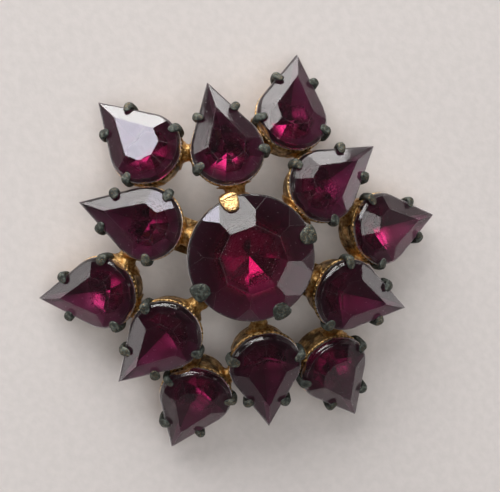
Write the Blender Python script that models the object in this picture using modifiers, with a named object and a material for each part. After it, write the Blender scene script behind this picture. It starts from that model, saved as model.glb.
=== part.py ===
"""Domed brooch: one round stone and a ring of twelve pear stones, in claw cups on a pin bar.

Every stone sits in its own stamped brass cup, which holds it by four claws. The cups lie on
a dome in two rings, an inner one and a lower, wider outer one, and lean outwards. A strap
bent to the dome is soldered across the backs of three cups. It carries the hinge of the pin
and a hook with a roll-over safety sleeve.

Frame: +Z out of the face of the brooch, +Y towards its top, origin under its middle at the
height of the cups that it lies on. Lengths are in metres, written as millimetres times MM.
"""

import math

import bmesh
import bpy
from mathutils import Matrix, Vector

MM = 0.001

# Stones: the round one, and the pear, whose round end is an arc that runs on into a point.
ROUND_RADIUS = 8.0 * MM
ROUND_CROWN = 2.3 * MM
ROUND_PAVILION = 4.3 * MM
ROUND_TABLE = 4.3 * MM
ROUND_SIDES = 8
ROUND_FIRST_FACET = 22.5
PEAR_RADIUS = 4.6 * MM
PEAR_TIP = 9.1 * MM
PEAR_CROWN = 1.4 * MM
PEAR_PAVILION = 3.3 * MM
# A girdle lies evenly about its plane, but the pear's is a taller band that rises above it.
GIRDLE = 0.35 * MM
PEAR_GIRDLE_TOP = 0.45 * MM
# Corners of the pear's table: reach from the middle of the arc, and angle from the point.
PEAR_TABLE = ((5.35 * MM, 0), (2.5 * MM, 77), (2.1 * MM, 125), (1.8 * MM, 180))
PEAR_PAVILION_ANGLES = (98, 139)
STEEP_FACET_DEPTH = 0.52

# Cups: a wall that leans in towards an open back, under a rim that the stone rests on.
CUP_WALL = 0.45 * MM
ROUND_CUP_DEPTH = 5.0 * MM
PEAR_CUP_DEPTH = 4.5 * MM
CUP_LEAN_IN = 0.9 * MM
RIM_INSET = 0.05 * MM
RIM_BAND = 0.5 * MM
RIM_STEP = 0.2 * MM
PEAR_CUP_NOSE = 1.6 * MM
STONE_SEAT_GAP = 0.12 * MM
# Beads of solder that join the cups' walls, at a depth below the girdle.
SOLDER_RADIUS = 0.7 * MM
SOLDER_DEPTH = 1.7 * MM
SOLDER_SIDES = 8
SOLDER_GAP = 0.15 * MM

# Claws: flat wire that stands on the cup's wall and is folded over the edge of the stone.
CLAW_THICK = 0.5 * MM
CLAW_WIDE = 1.25 * MM
CLAW_REACH = 0.85 * MM
CLAW_GAP = 0.12 * MM
CLAW_ROOT = 1.3 * MM
CLAW_TIP_TAPER = 0.7
ROUND_CLAW_WIDE = 2.5 * MM
ROUND_CLAW_REACH = 1.6 * MM
ROUND_CLAW_ANGLES = (25, 115, 215, 303)
SIDE_CLAW_FROM_TIP = 4.1 * MM
SHOULDER_CLAW_ANGLE = 110

# The dome: space between neighbouring girdles, drop of each ring below the round stone, and
# lean of its cups.
INNER_SPACE = 1.1 * MM
INNER_DROP = 2.3 * MM
INNER_LEAN = 21
OUTER_SPACE = 0.7 * MM
OUTER_DROP = 4.7 * MM
OUTER_LEAN = 31
FIRST_BEARING = 134
ROUND_STONE_SHIFT = Vector((0.3 * MM, 0.6 * MM, 0))
# The settings are soldered by eye. For each, clockwise from the top left: degrees off its
# even bearing, degrees that it is turned on its stem, and how far it lies off its ring.
HAND_SET = (
    ("outer_1", 0.5, 3, 0.1 * MM),
    ("inner_1", -1.5, 5, 0.4 * MM),
    ("outer_2", 0, 8, 0.3 * MM),
    ("inner_2", 2.5, -9, -0.2 * MM),
    ("outer_3", 0, -1, -0.3 * MM),
    ("inner_3", -0.5, 4, 0.1 * MM),
    ("outer_4", -2, -10, 0.1 * MM),
    ("inner_4", -0.5, -4, 0),
    ("outer_5", 0, -1, 0.2 * MM),
    ("inner_5", 1.5, 5, 0.1 * MM),
    ("outer_6", 2, -4, -0.2 * MM),
    ("inner_6", -2, 4, -0.3 * MM),
)
HINGE_SETTING = "inner_6"
CATCH_SETTING = "inner_3"

# Pin bar, pin and catch. The bar's ends run on past the middles of the cups above them.
BAR_WIDE = 4.4 * MM
BAR_THICK = 0.9 * MM
BAR_PAST_CUP = 1.9 * MM
BAR_CORNER = 1.2 * MM
PIN_BELOW_BAR = 2.4 * MM
PIN_RADIUS = 0.4 * MM
PIN_POINT = 3.0 * MM
PIN_POINT_FLAT = 0.2 * MM
PIN_PAST_CATCH = 3.2 * MM
HINGE_FROM_END = 3.6 * MM
CATCH_FROM_END = 4.0 * MM
BARREL_RADIUS = 0.95 * MM
BARREL_LENGTH = 2.0 * MM
RIVET_RADIUS = 0.42 * MM
RIVET_HEAD_RADIUS = 0.8 * MM
RIVET_HEAD = 0.35 * MM
EAR_THICK = 0.6 * MM
EAR_RADIUS = 1.2 * MM
EAR_ROOT = 3.6 * MM
RUNNING_GAP = 0.08 * MM
SIDE_GAP = 0.15 * MM
SLOT_GAP = 0.12 * MM
SLEEVE_WALL = 0.45 * MM
SLEEVE_FLANGE = 0.5 * MM
SLEEVE_FLANGE_PROUD = 0.3 * MM
SLEEVE_TAB_REACH = 2.0 * MM
SLEEVE_TAB_WIDE = 1.0 * MM
SLEEVE_TAB_THICK = 0.4 * MM
SLEEVE_TAB_ANGLE = 30
HOOK_WALL = 0.45 * MM
HOOK_LENGTH = 2.2 * MM
HOOK_POST_WIDE = 2.0 * MM

ARC_STEPS = 14
GIRDLE_STEPS = 18
NOSE_STEPS = 5
ROUND_STEPS = 32
BORE_STEPS = 20
WIRE_STEPS = 12
SMALL_ARC_STEPS = 6
DOME_STEPS = 3
CUT_PAST = 1.0 * MM
SHARP_ANGLE = 32


# Scene, materials and the small tools that every piece uses.
for leftover in list(bpy.data.objects):
    bpy.data.objects.remove(leftover)

parts = bpy.data.collections.new("brooch")
guides = bpy.data.collections.new("guides")
bpy.context.scene.collection.children.link(parts)
bpy.context.scene.collection.children.link(guides)


def metal(name, colour, roughness):
    """Metallic finish."""
    material = bpy.data.materials.new(name)
    material.use_nodes = True
    shader = material.node_tree.nodes["Principled BSDF"]
    shader.inputs["Base Color"].default_value = (*colour, 1)
    shader.inputs["Metallic"].default_value = 1
    shader.inputs["Roughness"].default_value = roughness
    return material


def glass(name, colour):
    """Clear coloured glass."""
    material = metal(name, colour, 0.03)
    shader = material.node_tree.nodes["Principled BSDF"]
    shader.inputs["Metallic"].default_value = 0
    shader.inputs["Transmission Weight"].default_value = 0.8
    return material


GILT = metal("antique_gilt_brass", (0.50, 0.33, 0.13), 0.4)
STEEL = metal("pin_steel", (0.55, 0.54, 0.50), 0.3)
PLUM_GLASS = glass("plum_glass", (0.22, 0.03, 0.12))

frame = bpy.data.objects.new("brooch_frame", None)
parts.objects.link(frame)


def evaluated_mesh(obj):
    """Mesh that the object has with its modifiers, or that its curve makes, caps welded."""
    bpy.context.view_layer.update()
    graph = bpy.context.evaluated_depsgraph_get()
    mesh = bpy.data.meshes.new_from_object(obj.evaluated_get(graph))
    bm = bmesh.new()
    bm.from_mesh(mesh)
    bmesh.ops.remove_doubles(bm, verts=bm.verts, dist=0.001 * MM)
    bmesh.ops.recalc_face_normals(bm, faces=bm.faces)
    bm.to_mesh(mesh)
    bm.free()
    return mesh


def mesh_from(bm):
    """Mesh of a bmesh, which is freed, with its faces turned outwards."""
    bmesh.ops.recalc_face_normals(bm, faces=bm.faces)
    mesh = bpy.data.meshes.new("shape")
    bm.to_mesh(mesh)
    bm.free()
    return mesh


def joined(meshes):
    """One mesh that holds copies of several."""
    bm = bmesh.new()
    for mesh in meshes:
        bm.from_mesh(mesh)
    return mesh_from(bm)


def moved(mesh, matrix):
    """The mesh, carried by a matrix."""
    mesh.transform(matrix)
    if matrix.determinant() < 0:
        mesh.flip_normals()
    return mesh


def piece(name, mesh, material, matrix=None):
    """Named object of the brooch on a mesh that others may share."""
    obj = bpy.data.objects.new(name, mesh)
    parts.objects.link(obj)
    obj.parent = frame
    if matrix is not None:
        obj.matrix_local = matrix
    if not mesh.materials:
        mesh.materials.append(material)
    return obj


def boolean(mesh, operation, other):
    """Mesh that is left when another is joined to it or cut from it."""
    target = bpy.data.objects.new("boolean_target", mesh)
    tool = bpy.data.objects.new("boolean_tool", other)
    for obj in (target, tool):
        guides.objects.link(obj)
        obj.hide_render = True
        obj.display_type = "WIRE"
    modifier = target.modifiers.new("boolean", "BOOLEAN")
    modifier.operation = operation
    modifier.solver = "EXACT"
    modifier.object = tool
    result = evaluated_mesh(target)
    bpy.data.objects.remove(target)
    bpy.data.objects.remove(tool)
    return result


def flat_curve(points, cyclic=True, fill="NONE"):
    """2D curve through points, for outlines and cross-sections."""
    data = bpy.data.curves.new("outline", "CURVE")
    data.dimensions = "2D"
    data.fill_mode = fill
    spline = data.splines.new("POLY")
    spline.points.add(len(points) - 1)
    for point, (x, y) in zip(spline.points, points):
        point.co = (x, y, 0, 1)
    spline.use_cyclic_u = cyclic
    obj = bpy.data.objects.new("outline", data)
    guides.objects.link(obj)
    return obj


def plate(points, thickness):
    """Flat outline made solid, centred on its own plane."""
    outline = flat_curve(points, fill="BOTH")
    outline.data.extrude = thickness / 2
    mesh = evaluated_mesh(outline)
    bpy.data.objects.remove(outline)
    return mesh


def cylinder(radius, length, steps=BORE_STEPS):
    """Cylinder along Z, centred on the origin."""
    bm = bmesh.new()
    bmesh.ops.create_cone(
        bm, cap_ends=True, segments=steps, radius1=radius, radius2=radius, depth=length
    )
    return mesh_from(bm)


def turned(profile, steps=BORE_STEPS, closed=False):
    """Profile of (radius, height) points turned about Z, down its outer side."""
    bm = bmesh.new()
    line = [bm.verts.new((x, 0, z)) for x, z in profile]
    if closed:
        line.append(line[0])
    for first, second in zip(line, line[1:]):
        bm.edges.new((first, second))
    outline = bpy.data.meshes.new("profile")
    bm.to_mesh(outline)
    bm.free()
    obj = bpy.data.objects.new("turned", outline)
    guides.objects.link(obj)
    screw = obj.modifiers.new("turn", "SCREW")
    screw.steps = steps
    screw.render_steps = steps
    screw.use_merge_vertices = True
    screw.merge_threshold = 0.001 * MM
    mesh = evaluated_mesh(obj)
    bpy.data.objects.remove(obj)
    return mesh


def arc(radius, first, last, steps, centre=(0, 0)):
    """Points on an arc, from one angle in degrees to another."""
    angles = [math.radians(first + (last - first) * i / steps) for i in range(steps + 1)]
    return [
        (centre[0] + radius * math.cos(a), centre[1] + radius * math.sin(a)) for a in angles
    ]


# Outlines of the stones. The pear's straight sides touch the arc at this angle.
PEAR_SIDE_ANGLE = math.degrees(math.acos(PEAR_RADIUS / PEAR_TIP))


def pear_outline():
    """Girdle of the pear: its arc, closed by the point."""
    side = PEAR_SIDE_ANGLE
    return arc(PEAR_RADIUS, side, 360 - side, GIRDLE_STEPS) + [(PEAR_TIP, 0)]


def pear_cup_outline(grow=0):
    """Rim line of the pear cup: the same sides, with a round nose short of the point."""
    side = PEAR_SIDE_ANGLE
    nose_x = (PEAR_RADIUS - PEAR_CUP_NOSE) / math.cos(math.radians(side))
    body = arc(PEAR_RADIUS + grow, side, 360 - side, ARC_STEPS)
    nose = arc(PEAR_CUP_NOSE + grow, -side, side, NOSE_STEPS, (nose_x, 0))
    return body + nose


def round_cup_outline(grow=0):
    """Rim line of the round cup."""
    return arc(ROUND_RADIUS + grow, 0, 360, ROUND_STEPS)[:-1]


def reach_towards(outline, angle):
    """How far an outline reaches in a direction."""
    turn = math.radians(angle)
    return max(x * math.cos(turn) + y * math.sin(turn) for x, y in outline)


# Stones are cut as a lapidary cuts them: a prism of the girdle's outline, then flat facets.
def facet(angle, near, near_z, far, far_z):
    """Plane that faces an angle and passes through two heights at two reaches."""
    turn = math.radians(angle)
    outward = Vector((math.cos(turn), math.sin(turn), 0))
    across = Vector((-math.sin(turn), math.cos(turn), 0))
    point = outward * far + Vector((0, 0, far_z))
    slope = outward * (far - near) + Vector((0, 0, far_z - near_z))
    normal = slope.cross(across)
    if normal.dot(point) < 0:
        normal.negate()
    return point, normal.normalized()


def cut_stone(outline, crown, pavilion, facets):
    """Closed stone: the outline's prism, cut by each facet plane in turn."""
    bm = bmesh.new()
    ring = [bm.verts.new((x, y, -pavilion)) for x, y in outline]
    base = bm.faces.new(ring)
    grown = bmesh.ops.extrude_face_region(bm, geom=[base])["geom"]
    top = [part for part in grown if isinstance(part, bmesh.types.BMVert)]
    bmesh.ops.translate(bm, verts=top, vec=(0, 0, pavilion + crown))
    for point, normal in facets:
        everything = bm.verts[:] + bm.edges[:] + bm.faces[:]
        cut = bmesh.ops.bisect_plane(
            bm, geom=everything, dist=0.0005 * MM, plane_co=point, plane_no=normal,
            clear_outer=True,
        )["geom_cut"]
        edges = [part for part in cut if isinstance(part, bmesh.types.BMEdge)]
        bmesh.ops.holes_fill(bm, edges=[edge for edge in edges if edge.is_boundary])
    bmesh.ops.remove_doubles(bm, verts=bm.verts, dist=0.003 * MM)
    return mesh_from(bm)


def table_edge_facet(first, second, crown, outline):
    """Crown facet that runs from one edge of the pear's table down to its girdle."""
    along = second - first
    angle = math.degrees(math.atan2(-along.x, along.y)) + 180
    outward = Vector((math.cos(math.radians(angle)), math.sin(math.radians(angle))))
    if outward.dot(first) < 0:
        angle += 180
        outward.negate()
    girdle_reach = reach_towards(outline, angle)
    return facet(angle, outward.dot(first), crown, girdle_reach, PEAR_GIRDLE_TOP)


def culet_facet(angle, pavilion, outline):
    """Pavilion facet that runs from the girdle down to the stone's lowest point."""
    return facet(angle, 0, -pavilion, reach_towards(outline, angle), -GIRDLE / 2)


def pear_crown():
    """Six crown facets, two to each edge of half the table."""
    corners = [
        Vector((reach * math.cos(math.radians(turn)), reach * math.sin(math.radians(turn))))
        for reach, turn in PEAR_TABLE
    ]
    facets = []
    for first, second in zip(corners, corners[1:]):
        for side in (1, -1):
            ends = [Vector((end.x, side * end.y)) for end in (first, second)]
            facets.append(table_edge_facet(*ends, PEAR_CROWN, pear_outline()))
    return facets


def pear_stone():
    """Pear stone: its crown round the table, and seven facets below."""
    outline = pear_outline()
    angles = [180]
    for angle in (PEAR_SIDE_ANGLE, *PEAR_PAVILION_ANGLES):
        angles += [angle, -angle]
    below = [culet_facet(angle, PEAR_PAVILION, outline) for angle in angles]
    return cut_stone(outline, PEAR_CROWN, PEAR_PAVILION, pear_crown() + below)


def round_outline():
    """Girdle of the round stone."""
    return arc(ROUND_RADIUS, 0, 360, 2 * ROUND_STEPS)[:-1]


def round_crown():
    """A main facet to each edge of the table, and a corner facet between each two."""
    half_side = math.pi / ROUND_SIDES
    table_reach = ROUND_TABLE * math.cos(half_side)
    fall = (ROUND_CROWN - GIRDLE / 2) / (ROUND_RADIUS - table_reach)
    middle_reach = (ROUND_TABLE + ROUND_RADIUS) / 2
    middle_height = ROUND_CROWN - (middle_reach * math.cos(half_side) - table_reach) * fall
    facets = []
    for index in range(ROUND_SIDES):
        main = ROUND_FIRST_FACET + 360 * index / ROUND_SIDES
        corner = main + 180 / ROUND_SIDES
        facets.append(facet(main, table_reach, ROUND_CROWN, ROUND_RADIUS, GIRDLE / 2))
        facets.append(facet(corner, middle_reach, middle_height, ROUND_RADIUS, GIRDLE / 2))
    return facets


def round_stone():
    """Round stone: its crown, and as many facets below, the corner ones steeper."""
    outline = round_outline()
    below = []
    for index in range(ROUND_SIDES):
        main = ROUND_FIRST_FACET + 360 * index / ROUND_SIDES
        corner = main + 180 / ROUND_SIDES
        below.append(culet_facet(main, ROUND_PAVILION, outline))
        steep = facet(
            corner, ROUND_TABLE, -ROUND_PAVILION * STEEP_FACET_DEPTH, ROUND_RADIUS, -GIRDLE / 2
        )
        below.append(steep)
    return cut_stone(outline, ROUND_CROWN, ROUND_PAVILION, round_crown() + below)


def crown_height(facets, x, y):
    """Height of a stone's crown above a point of its girdle plane."""
    return min(
        point.z - ((x - point.x) * normal.x + (y - point.y) * normal.y) / normal.z
        for point, normal in facets
    )


# Cups and claws.
def cup_section(depth):
    """Cross-section of a cup's wall, as (offset from the stone's girdle, height)."""
    rim_inner = -RIM_INSET - CUP_WALL
    seat_fall = -rim_inner * PEAR_PAVILION / PEAR_RADIUS
    top = -GIRDLE / 2 - seat_fall - STONE_SEAT_GAP
    step = -RIM_INSET - RIM_STEP
    back = -RIM_INSET - CUP_LEAN_IN
    return [
        (rim_inner, top),
        (-RIM_INSET, top),
        (-RIM_INSET, top - RIM_BAND),
        (step, top - RIM_BAND - RIM_STEP),
        (back, -depth),
        (back - CUP_WALL, -depth),
        (step - CUP_WALL, top - RIM_BAND - RIM_STEP),
    ]


def claw(foot, angle, wide, reach, crown):
    """Claw on the outline at a foot point, folded over the stone's crown along an angle."""
    inward = -Vector((math.cos(math.radians(angle)), math.sin(math.radians(angle))))
    edge = crown_height(crown, *foot)
    rise = crown_height(crown, *(Vector(foot) + inward * reach)) - edge
    half = CLAW_THICK / 2
    out = half + CLAW_GAP
    lift = edge + out * math.hypot(reach, rise) / reach
    path = [
        (-CUP_WALL / 2 - RIM_STEP, -GIRDLE / 2 - CLAW_ROOT, 1),
        (out, -GIRDLE / 2 - RIM_BAND, 1),
        (out, edge, 1),
        (out / 2, (edge + lift) / 2 + half / 2, 1),
        (0, lift, 1),
        (-reach, lift + rise, CLAW_TIP_TAPER),
    ]
    data = bpy.data.curves.new("claw", "CURVE")
    data.dimensions = "3D"
    data.bevel_depth = half
    data.bevel_resolution = 2
    data.use_fill_caps = True
    spline = data.splines.new("POLY")
    spline.points.add(len(path) - 1)
    for point, (offset, height, size) in zip(spline.points, path):
        point.co = (offset, 0, height, 1)
        point.radius = size
    wire = bpy.data.objects.new("claw", data)
    guides.objects.link(wire)
    mesh = evaluated_mesh(wire)
    bpy.data.objects.remove(wire)
    flatten = Matrix.Diagonal((1, wide / CLAW_THICK, 1, 1))
    turn = Matrix.Rotation(math.radians(angle), 4, "Z")
    return moved(mesh, Matrix.Translation((*foot, 0)) @ turn @ flatten)


def round_cup():
    """Turned cup of the round stone, with its claws."""
    section = cup_section(ROUND_CUP_DEPTH)
    wall = turned(
        [(ROUND_RADIUS + offset, height) for offset, height in section], ROUND_STEPS, True
    )
    claws = [
        claw(arc(ROUND_RADIUS, angle, angle, 1)[0], angle, ROUND_CLAW_WIDE,
             ROUND_CLAW_REACH, round_crown())
        for angle in ROUND_CLAW_ANGLES
    ]
    return boolean(wall, "UNION", joined(claws))


def pear_cup():
    """Stamped cup of a pear stone, with two claws by the point and two at the shoulders."""
    rim = flat_curve(pear_cup_outline())
    section = flat_curve([(-offset, height) for offset, height in cup_section(PEAR_CUP_DEPTH)])
    rim.data.bevel_mode = "OBJECT"
    rim.data.bevel_object = section
    wall = evaluated_mesh(rim)
    bpy.data.objects.remove(rim)
    bpy.data.objects.remove(section)
    seat = moved(pear_stone(), Matrix.Translation((0, 0, -STONE_SEAT_GAP)))
    wall = boolean(wall, "DIFFERENCE", seat)
    foot_x = PEAR_TIP - SIDE_CLAW_FROM_TIP
    foot_y = SIDE_CLAW_FROM_TIP / math.tan(math.radians(PEAR_SIDE_ANGLE))
    claws = []
    for side in (1, -1):
        near_point = (foot_x, side * foot_y)
        turn = side * SHOULDER_CLAW_ANGLE
        shoulder = arc(PEAR_RADIUS, turn, turn, 1)[0]
        for foot, angle in ((near_point, side * PEAR_SIDE_ANGLE), (shoulder, turn)):
            claws.append(claw(foot, angle, CLAW_WIDE, CLAW_REACH, pear_crown()))
    return boolean(wall, "UNION", joined(claws))


# Reach of the rings: the inner one clears the round stone, and the stones of the outer one
# nest between those of the inner one.
BEARING_STEP = 360 / len(HAND_SET)
INNER_REACH = ROUND_RADIUS + INNER_SPACE + PEAR_RADIUS
NEST_ALONG = INNER_REACH * math.cos(math.radians(BEARING_STEP))
NEST_ACROSS = INNER_REACH * math.sin(math.radians(BEARING_STEP))
NEST_LEVEL = math.sqrt((2 * PEAR_RADIUS + OUTER_SPACE) ** 2 - (OUTER_DROP - INNER_DROP) ** 2)
OUTER_REACH = NEST_ALONG + math.sqrt(NEST_LEVEL ** 2 - NEST_ACROSS ** 2)


def setting_place(index):
    """Where a pear setting stands on the dome: its matrix in the brooch's frame."""
    name, off_bearing, twist, off_ring = HAND_SET[index]
    if name.startswith("outer"):
        reach, drop, lean = OUTER_REACH, OUTER_DROP, OUTER_LEAN
    else:
        reach, drop, lean = INNER_REACH, INNER_DROP, INNER_LEAN
    bearing = FIRST_BEARING - BEARING_STEP * index + off_bearing
    return (
        Matrix.Rotation(math.radians(bearing), 4, "Z")
        @ Matrix.Translation((reach + off_ring, 0, -drop))
        @ Matrix.Rotation(math.radians(lean), 4, "Y")
        @ Matrix.Rotation(math.radians(twist), 4, "Z")
    )


PLACES = {row[0]: setting_place(index) for index, row in enumerate(HAND_SET)}
MIDDLE = Matrix.Translation(ROUND_STONE_SHIFT)


def plug(outline_at, depth, grow):
    """Solid that fills a cup to its outer face, or past it or short of it by `grow`."""
    section = cup_section(depth)
    bm = bmesh.new()
    for offset, height in (section[1], section[4]):
        for x, y in outline_at(offset + grow):
            bm.verts.new((x, y, height))
    bmesh.ops.convex_hull(bm, input=bm.verts)
    return mesh_from(bm)


def solder_bead(own, other, other_outline, other_depth):
    """Bead from a pear cup's wall almost to its neighbour's, in the cup's own frame."""
    below = Vector((0, 0, -SOLDER_DEPTH))
    start, end = own @ below, other @ below
    run = end - start
    lay = Matrix.Translation((start + end) / 2) @ run.to_track_quat("Z", "Y").to_matrix().to_4x4()
    bar = moved(cylinder(SOLDER_RADIUS, run.length, SOLDER_SIDES), lay)
    inside = plug(pear_cup_outline, PEAR_CUP_DEPTH, -CUP_WALL / 2)
    beyond = plug(other_outline, other_depth, SOLDER_GAP)
    bead = boolean(bar, "DIFFERENCE", moved(inside, own))
    bead = boolean(bead, "DIFFERENCE", moved(beyond, other))
    return moved(bead, own.inverted())


def solder_beads(index):
    """An inner cup is soldered to the centre cup, an outer one to the inner cups beside it."""
    name = HAND_SET[index][0]
    if name.startswith("inner"):
        return [solder_bead(PLACES[name], MIDDLE, round_cup_outline, ROUND_CUP_DEPTH)]
    beside = [HAND_SET[(index + step) % len(HAND_SET)][0] for step in (-1, 1)]
    return [
        solder_bead(PLACES[name], PLACES[other], pear_cup_outline, PEAR_CUP_DEPTH)
        for other in beside
    ]


cup_mesh, stone_mesh = pear_cup(), pear_stone()
for index, (setting, place) in enumerate(PLACES.items()):
    soldered = boolean(cup_mesh.copy(), "UNION", joined(solder_beads(index)))
    piece(f"{setting}_cup", soldered, GILT, place)
    piece(f"{setting}_stone", stone_mesh, PLUM_GLASS, place)
piece("centre_cup", round_cup(), GILT, MIDDLE)
piece("centre_stone", round_stone(), PLUM_GLASS, MIDDLE)


# Pin bar. Its own frame has +X along it from the hinge to the catch, through the middles of
# the two cups that its ends are soldered to.
hinge_cup, catch_cup = PLACES[HINGE_SETTING], PLACES[CATCH_SETTING]
span = (catch_cup.translation - hinge_cup.translation).xy
bar_middle = (catch_cup.translation + hinge_cup.translation).xy / 2
BAR = Matrix.Translation((*bar_middle, 0)) @ Matrix.Rotation(math.atan2(span.y, span.x), 4, "Z")
BAR_END = span.length / 2 + BAR_PAST_CUP
HINGE_AT = HINGE_FROM_END - BAR_END
CATCH_AT = BAR_END - CATCH_FROM_END
FACE_ALONG = Matrix.Rotation(math.radians(90), 4, "X")
TURN_ALONG = Matrix.Rotation(math.radians(90), 4, "Y")


def cup_back(place, along):
    """Height of the plane of a cup's back over a point along the bar."""
    back = BAR.inverted() @ place
    point = back @ Vector((0, 0, -PEAR_CUP_DEPTH))
    normal = back.to_3x3().col[2]
    return point.z - ((along - point.x) * normal.x - point.y * normal.y) / normal.z


def bend_at(place, end):
    """Place along the bar where a cup's back comes level with the centre cup's."""
    slope = (cup_back(place, end) - cup_back(place, 0)) / end
    return (-ROUND_CUP_DEPTH - cup_back(place, 0)) / slope


def bar_top(along):
    """Height of the bar's upper face."""
    place = catch_cup if along > 0 else hinge_cup
    return min(-ROUND_CUP_DEPTH, cup_back(place, along)) - SOLDER_GAP


def bar_under(along):
    """Height of the bar's lower face on its sloping ends."""
    place = catch_cup if along > 0 else hinge_cup
    slope = (cup_back(place, along) - cup_back(place, 0)) / along
    return bar_top(along) - BAR_THICK * math.hypot(1, slope)


def bar_strip():
    """Strip with two bends and rounded corners, given its thickness downwards."""
    stations = [-BAR_END, bend_at(hinge_cup, -BAR_END), bend_at(catch_cup, BAR_END), BAR_END]
    bm = bmesh.new()
    rows = [
        [bm.verts.new((x, y, bar_top(x))) for x in stations]
        for y in (-BAR_WIDE / 2, BAR_WIDE / 2)
    ]
    for i in range(len(stations) - 1):
        bm.faces.new((rows[0][i], rows[0][i + 1], rows[1][i + 1], rows[1][i]))
    corners = [row[i] for row in rows for i in (0, -1)]
    bmesh.ops.bevel(
        bm, geom=corners, offset=BAR_CORNER, segments=4, profile=0.5, affect="VERTICES"
    )
    strip = bpy.data.meshes.new("strip")
    bm.to_mesh(strip)
    bm.free()
    obj = bpy.data.objects.new("strip", strip)
    guides.objects.link(obj)
    shell = obj.modifiers.new("thickness", "SOLIDIFY")
    shell.thickness = BAR_THICK
    shell.offset = -1
    shell.use_even_offset = True
    mesh = evaluated_mesh(obj)
    bpy.data.objects.remove(obj)
    return mesh


PIN_DROP = PIN_BELOW_BAR - min(bar_under(HINGE_AT), bar_under(CATCH_AT))


def across_bar(mesh, along, offset=0):
    """A mesh made in the XY plane, stood up along the bar at the pin's height."""
    return moved(mesh, Matrix.Translation((along, offset, -PIN_DROP)) @ FACE_ALONG)


def hinge_ear(side):
    """Ear folded down from the bar, round about the rivet."""
    root = [
        (reach, bar_under(HINGE_AT + reach) + BAR_THICK / 2 + PIN_DROP)
        for reach in (EAR_ROOT / 2, -EAR_ROOT / 2)
    ]
    outline = root + arc(EAR_RADIUS, 180, 360, SMALL_ARC_STEPS)
    offset = side * (BARREL_LENGTH / 2 + SIDE_GAP + EAR_THICK / 2)
    return across_bar(plate(outline, EAR_THICK), HINGE_AT, offset)


def pin_bar():
    """Bar with its two ears, drilled for the rivet."""
    ears = joined([hinge_ear(1), hinge_ear(-1)])
    bore = across_bar(cylinder(RIVET_RADIUS + RUNNING_GAP, 2 * BAR_WIDE), HINGE_AT)
    return boolean(boolean(bar_strip(), "UNION", ears), "DIFFERENCE", bore)


def hinge_rivet():
    """Rivet through the ears, with a domed head at each end."""
    grip = BARREL_LENGTH / 2 + SIDE_GAP + EAR_THICK + SIDE_GAP
    dome = [
        (RIVET_HEAD_RADIUS * x, grip + RIVET_HEAD * y) for x, y in arc(1, 90, 0, DOME_STEPS)
    ]
    half = [*dome, (RIVET_RADIUS, grip)]
    return moved(turned(half + [(x, -z) for x, z in reversed(half)]), FACE_ALONG)


def pin_stem():
    """Straight pin from its barrel to its point, about the rivet's axis."""
    length = CATCH_AT - HINGE_AT + PIN_PAST_CATCH
    root = (RIVET_RADIUS + RUNNING_GAP + BARREL_RADIUS) / 2
    profile = [
        (0, length),
        (PIN_POINT_FLAT / 2, length),
        (PIN_RADIUS, length - PIN_POINT),
        (PIN_RADIUS, root),
        (0, root),
    ]
    wire = turned(profile, WIRE_STEPS)
    barrel = moved(cylinder(BARREL_RADIUS, BARREL_LENGTH), FACE_ALONG)
    bore = moved(cylinder(RIVET_RADIUS + RUNNING_GAP, 2 * BARREL_LENGTH), FACE_ALONG)
    return boolean(boolean(barrel, "UNION", moved(wire, TURN_ALONG)), "DIFFERENCE", bore)


SLEEVE_BORE = PIN_RADIUS + SIDE_GAP
SLEEVE_RADIUS = SLEEVE_BORE + SLEEVE_WALL
HOOK_BORE = SLEEVE_RADIUS + RUNNING_GAP


def slot(half_width, depth, length):
    """Cutter that opens a tube along +X, so downwards once it lies along the bar."""
    outline = [(0, -half_width), (depth, -half_width), (depth, half_width), (0, half_width)]
    return plate(outline, length)


def catch_hook():
    """Post under the bar that ends in a tube, open at the back for the pin."""
    half = HOOK_LENGTH / 2
    outline = [(-half, 0), (half, 0)]
    for reach in (half, -half):
        top = bar_under(CATCH_AT + reach) - SOLDER_GAP
        outline.append((reach, top + PIN_DROP))
    post = moved(plate(outline, HOOK_POST_WIDE), FACE_ALONG)
    tube = moved(cylinder(HOOK_BORE + HOOK_WALL, HOOK_LENGTH + SIDE_GAP), TURN_ALONG)
    bore = moved(cylinder(HOOK_BORE, HOOK_LENGTH + CUT_PAST), TURN_ALONG)
    opening = moved(
        slot(SLEEVE_BORE + SIDE_GAP, HOOK_BORE + CUT_PAST, HOOK_LENGTH + CUT_PAST), TURN_ALONG
    )
    solid = boolean(post, "UNION", tube)
    return boolean(boolean(solid, "DIFFERENCE", bore), "DIFFERENCE", opening)


def catch_sleeve():
    """Slotted sleeve that turns in the hook, with a flange at each end and a thumb tab."""
    inner = (HOOK_LENGTH + SIDE_GAP) / 2 + SIDE_GAP
    outer = inner + SLEEVE_FLANGE
    flange = SLEEVE_RADIUS + SLEEVE_FLANGE_PROUD
    spool = turned([
        (SLEEVE_BORE, outer), (flange, outer), (flange, inner), (SLEEVE_RADIUS, inner),
        (SLEEVE_RADIUS, -inner), (flange, -inner), (flange, -outer), (SLEEVE_BORE, -outer),
    ], closed=True)
    half_tab = SLEEVE_TAB_WIDE / 2
    nose = arc(half_tab, -90, 90, SMALL_ARC_STEPS, (SLEEVE_TAB_REACH - half_tab, 0))
    start = (SLEEVE_BORE + SLEEVE_RADIUS) / 2
    tab = plate([(start, half_tab), (start, -half_tab), *nose], SLEEVE_TAB_THICK)
    turn = Matrix.Rotation(math.radians(90 + SLEEVE_TAB_ANGLE), 4, "Z")
    moved(tab, Matrix.Translation((0, 0, -inner - SLEEVE_FLANGE / 2)) @ turn)
    opening = slot(PIN_RADIUS + SLOT_GAP, flange + CUT_PAST, 2 * outer + CUT_PAST)
    sleeve = boolean(boolean(spool, "UNION", tab), "DIFFERENCE", opening)
    return moved(sleeve, TURN_ALONG)


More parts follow.
